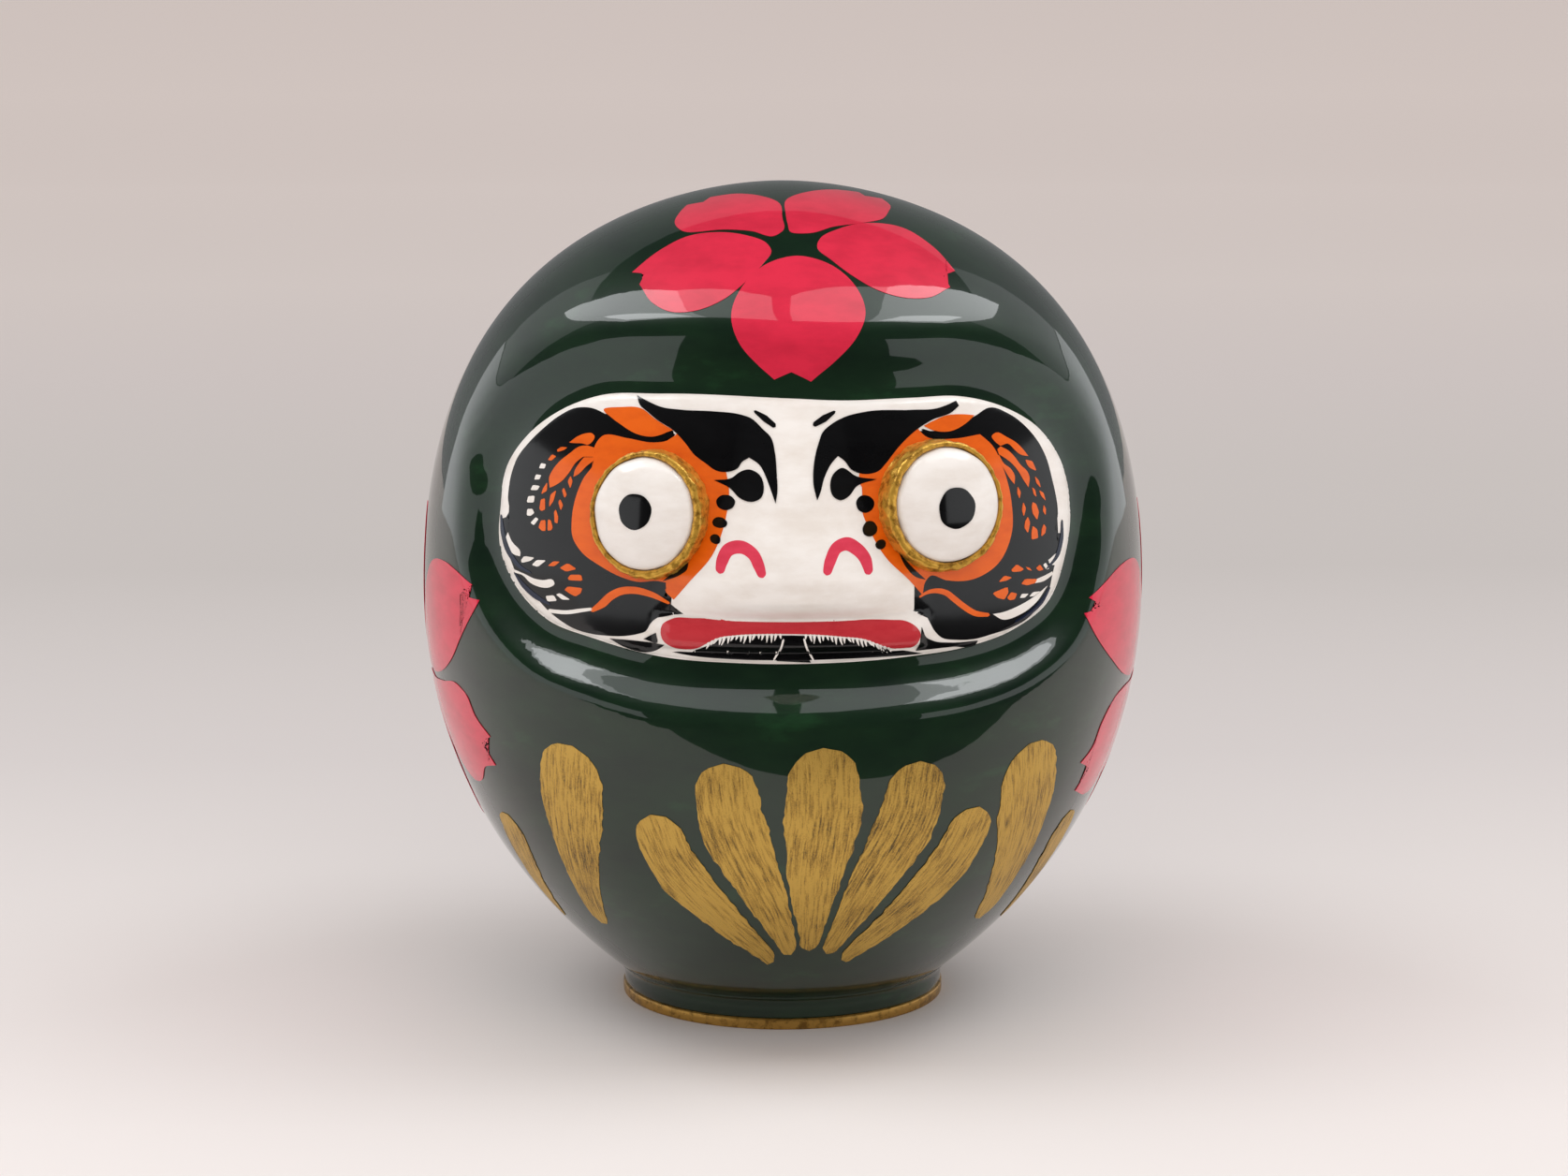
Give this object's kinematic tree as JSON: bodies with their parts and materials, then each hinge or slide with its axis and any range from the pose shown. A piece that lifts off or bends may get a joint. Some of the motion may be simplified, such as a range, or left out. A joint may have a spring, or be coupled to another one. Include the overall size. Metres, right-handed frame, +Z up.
{
  "type": "daruma doll",
  "caption": "Round weighted papier-mache good-luck doll with a sunk painted face, domed eyes, gilt rings and a low foot.",
  "frame": {"origin": "centre of the foot's underside, on the surface that the doll stands on", "axes": "+Z up; the face looks to -Y; +X is on the right of someone who looks at the face"},
  "size_m": [0.1574, 0.1565, 0.18],
  "materials": {
    "green_lacquer": "dark green lacquer over papier-mache, under a clear gloss coat",
    "white_gofun": "white shell-powder paint, varnished",
    "eye_white": "white shell-powder paint, satin",
    "gilt_paste": "gold paint over raised paste, rough",
    "gilt_band": "gold paint on card, slightly worn",
    "strip_paper": "pasted kraft paper",
    "raw_clay": "unglazed clay",
    "grey_board": "plain board"
  },
  "bodies": {
    "root": {"front_shell": "green_lacquer", "rear_shell": "green_lacquer", "seam_strip": "strip_paper", "face_mask": "white_gofun", "left_eye": "eye_white", "right_eye": "eye_white", "left_eye_ring": "gilt_paste", "right_eye_ring": "gilt_paste", "foot_ring": "green_lacquer", "foot_rim": "gilt_band", "ballast_weight": "raw_clay", "base_disc": "grey_board"}
  },
  "joints": []
}
